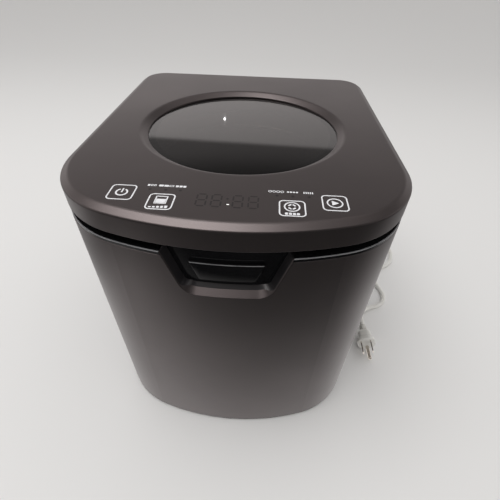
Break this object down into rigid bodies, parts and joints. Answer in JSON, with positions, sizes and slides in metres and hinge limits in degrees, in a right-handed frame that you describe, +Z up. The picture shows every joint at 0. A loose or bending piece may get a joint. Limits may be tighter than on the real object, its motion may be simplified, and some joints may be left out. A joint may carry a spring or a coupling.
{
  "type": "electric food waste composter",
  "caption": "Electric food waste composter with a windowed hinged lid, a push-button catch, a stirred lift-out bucket and a filter drawer.",
  "frame": {"origin": "middle of the casing's footprint, on the surface that the feet stand on", "axes": "+Z up, the front with the release button faces -Y, +X to the right seen from the front"},
  "size_m": [0.4092, 0.4381, 0.295],
  "materials": {
    "dark_paint": "satin, fine metallic grey-brown",
    "black_gloss": "high gloss",
    "black_plastic": "fine matt",
    "grey_plastic": "matt moulding",
    "white_plastic": "off-white, satin",
    "smoked_glass": "tinted, polished",
    "rubber": "matt",
    "steel": "brushed",
    "aluminium": "satin cast",
    "brass": "nickel-plated where it shows",
    "insulation_felt": "felted mineral fibre",
    "carbon": "black granules in non-woven cloth",
    "circuit_board": "solder-masked board"
  },
  "bodies": {
    "housing": {"foot_pads": "rubber", "base_plate": "black_plastic", "base_screws": "steel", "outer_shell": "dark_paint", "top_deck": "black_gloss", "deck_screws": "steel", "latch_bezel": "black_gloss", "latch_guide": "black_plastic", "body_knuckles": "black_plastic", "hinge_pins": "steel", "chamber": "aluminium", "heater_band": "steel", "insulation": "insulation_felt", "chamber_posts": "grey_plastic", "temperature_sensor": "black_plastic", "bucket": "aluminium", "bucket_handle": "steel", "bucket_bush": "grey_plastic", "motor": "steel", "gear_case": "grey_plastic", "gear_cover": "grey_plastic", "shaft_bushes": "brass", "case_pillars": "grey_plastic", "case_screws": "steel", "fan_frame": "black_plastic", "drawer_frame": "black_plastic", "air_duct": "black_plastic", "board_carrier": "grey_plastic", "power_board": "circuit_board", "board_parts": "black_plastic", "cord_gland": "white_plastic", "cord_lead": "white_plastic", "cord_run": "white_plastic", "cord_coil": "white_plastic", "coil_tie": "black_plastic", "plug_body": "white_plastic", "plug_pins": "brass"},
    "lid": {"lid_shell": "dark_paint", "window_glass": "smoked_glass", "window_seal": "rubber", "lid_liner": "black_plastic", "liner_screws": "steel", "lid_gasket": "rubber", "display_board": "circuit_board", "display_module": "black_plastic", "touch_pads": "rubber", "lid_keeper": "steel", "lid_knuckles": "black_plastic"},
    "release_button": {"release_button": "black_gloss", "button_slide": "black_plastic", "latch_bolt": "grey_plastic", "button_spring": "steel"},
    "stirrer": {"stirring_blade": "steel", "drive_socket": "steel", "output_shaft": "steel", "output_wheel": "steel"},
    "pinion": {"motor_pinion": "brass"},
    "fan": {"fan_rotor": "black_plastic"},
    "drawer": {"filter_drawer": "dark_paint", "carbon_filter": "carbon"}
  },
  "joints": [
    {"name": "lid_hinge", "type": "hinge", "parent": "housing", "child": "lid", "pos_m": [0, 0.162, 0.271], "axis": [-1, 0, 0], "range_deg": [0, 88]},
    {"name": "button_press", "type": "slide", "parent": "housing", "child": "release_button", "axis": [0, 1, 0], "range_m": [0, 0.003], "stiffness_N_per_m": 600, "springref_m": -0.002, "deforming": ["button_spring"]},
    {"name": "stirrer_spin", "type": "hinge", "parent": "housing", "child": "stirrer", "pos_m": [0, 0, 0.05], "axis": [0, 0, 1], "continuous": true},
    {"name": "pinion_spin", "type": "hinge", "parent": "housing", "child": "pinion", "pos_m": [0, 0.054, 0.05], "axis": [0, 0, 1], "continuous": true},
    {"name": "fan_spin", "type": "hinge", "parent": "housing", "child": "fan", "pos_m": [0, 0.15, 0.098], "axis": [0, 1, 0], "continuous": true},
    {"name": "drawer_slide", "type": "slide", "parent": "housing", "child": "drawer", "axis": [0, 1, 0], "range_m": [0, 0.045]}
  ],
  "couplings": [
    {"joint": "pinion_spin", "follows": "stirrer_spin", "ratio": -5}
  ]
}
